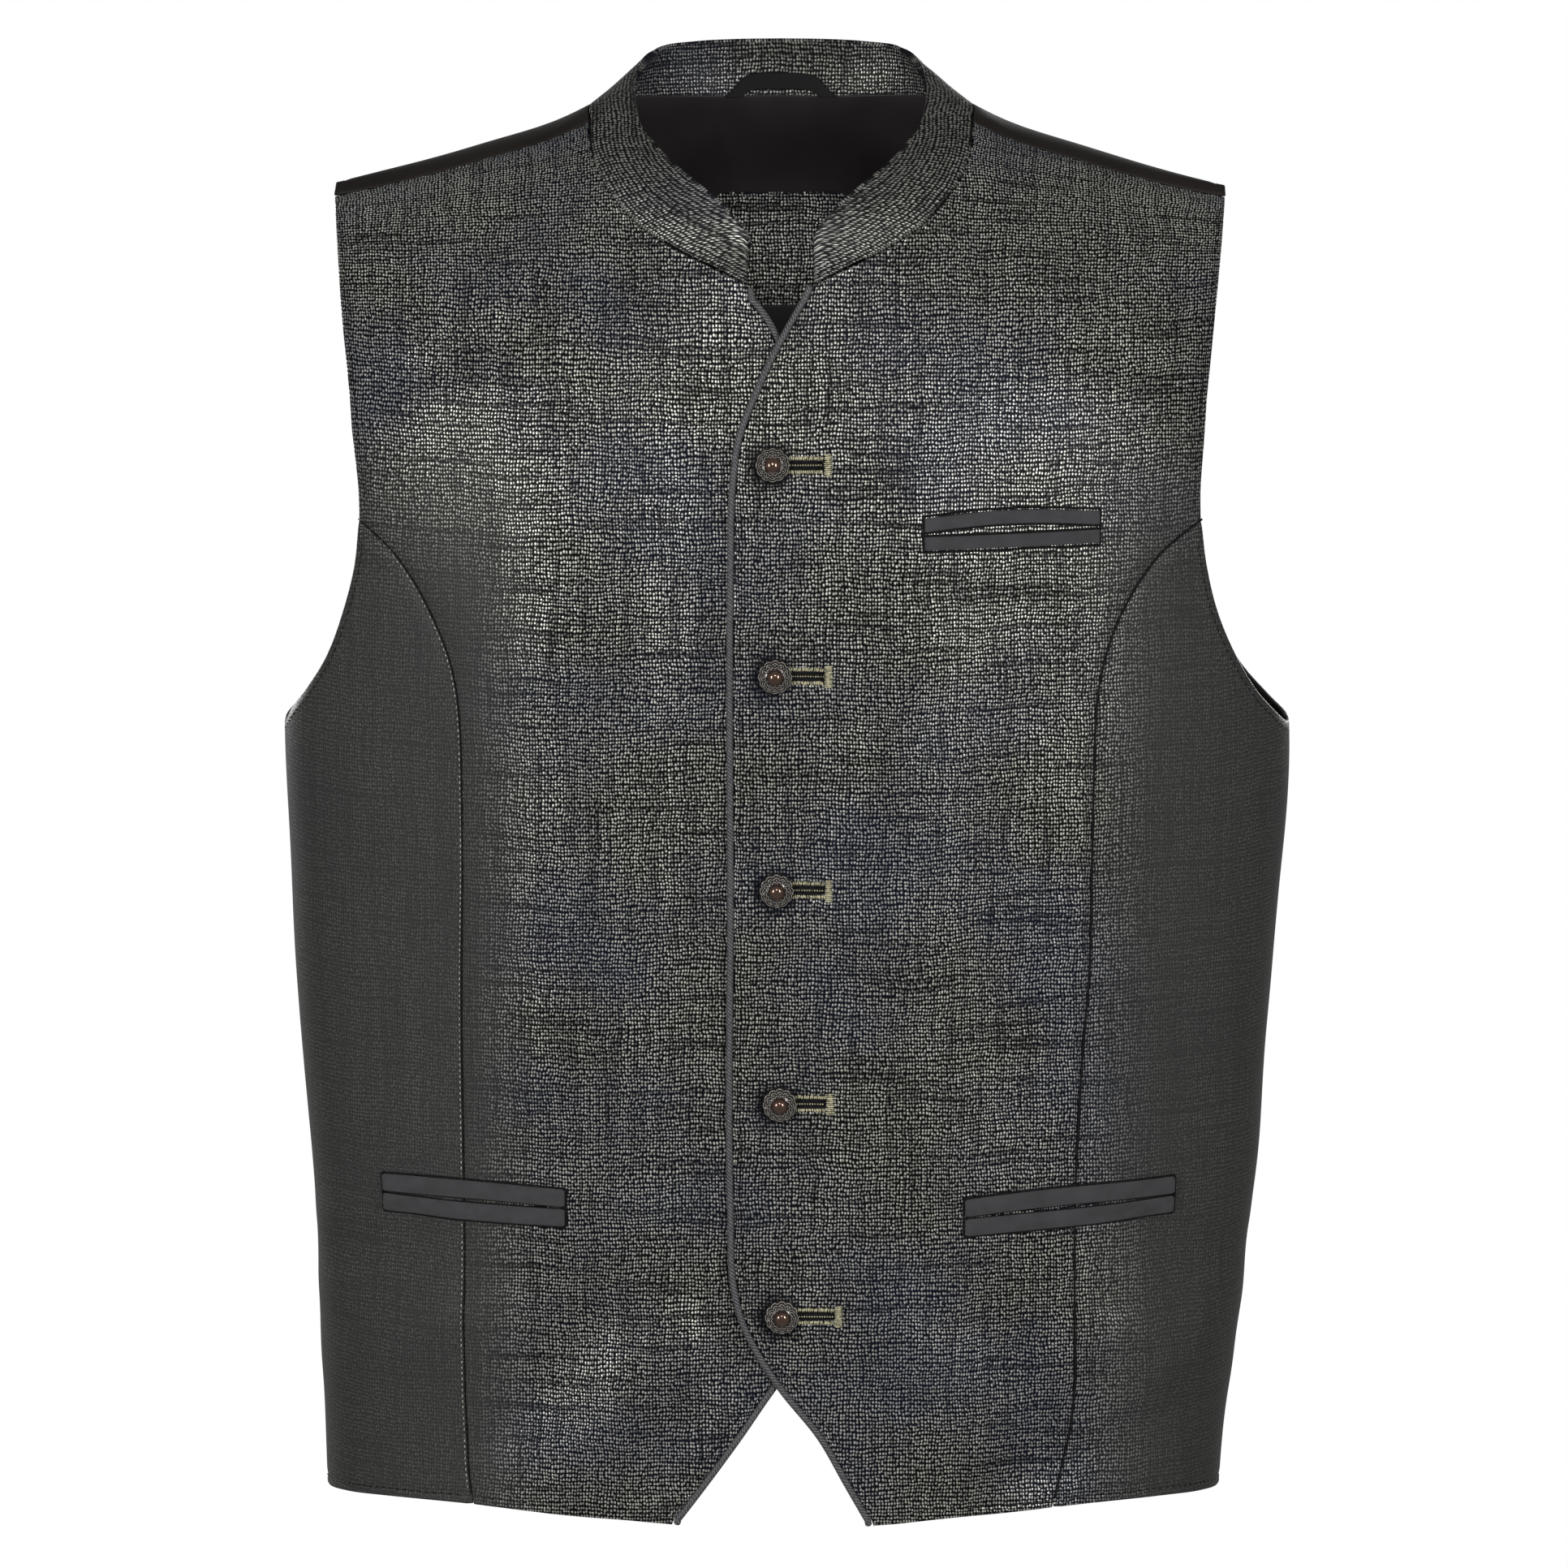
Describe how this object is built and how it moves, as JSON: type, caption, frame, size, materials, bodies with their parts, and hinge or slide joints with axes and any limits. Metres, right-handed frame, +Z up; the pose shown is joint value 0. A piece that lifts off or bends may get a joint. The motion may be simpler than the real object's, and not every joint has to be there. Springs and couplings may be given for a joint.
{
  "type": "gilet",
  "caption": "Boys' sleeveless gilet with a stand collar, piped overlapping fronts closed by shank buttons, princess seams, welt pockets and a dark satin back.",
  "frame": {"origin": "on the midline between the two points where the shoulders meet the collar", "axes": "+Z up, the front faces -Y, the wearer's left is +X"},
  "size_m": [0.3775, 0.1642, 0.5456],
  "materials": {
    "suiting": "slub weave of pale and near-black threads, slight sheen",
    "back_satin": "smooth black satin",
    "lining": "smooth black lining",
    "piping": "plain grey bias strip over a cord",
    "welt": "plain matt dark grey cloth",
    "tape": "black woven tape",
    "antique_metal": "dark antique cast metal with rubbed edges"
  },
  "bodies": {
    "root": {"right_front": "suiting", "left_front": "suiting", "right_side_front": "suiting", "left_side_front": "suiting", "back": "back_satin", "back_lining": "lining", "neck_patch": "suiting", "size_label": "tape", "collar": "suiting", "hanger_loop": "tape", "right_edge_piping": "piping", "left_edge_piping": "piping", "chest_pocket_upper_welt": "welt", "chest_pocket_lower_welt": "welt", "left_pocket_upper_welt": "welt", "left_pocket_lower_welt": "welt", "right_pocket_upper_welt": "welt", "right_pocket_lower_welt": "welt", "button_1": "antique_metal", "button_2": "antique_metal", "button_3": "antique_metal", "button_4": "antique_metal", "button_5": "antique_metal"}
  },
  "joints": []
}
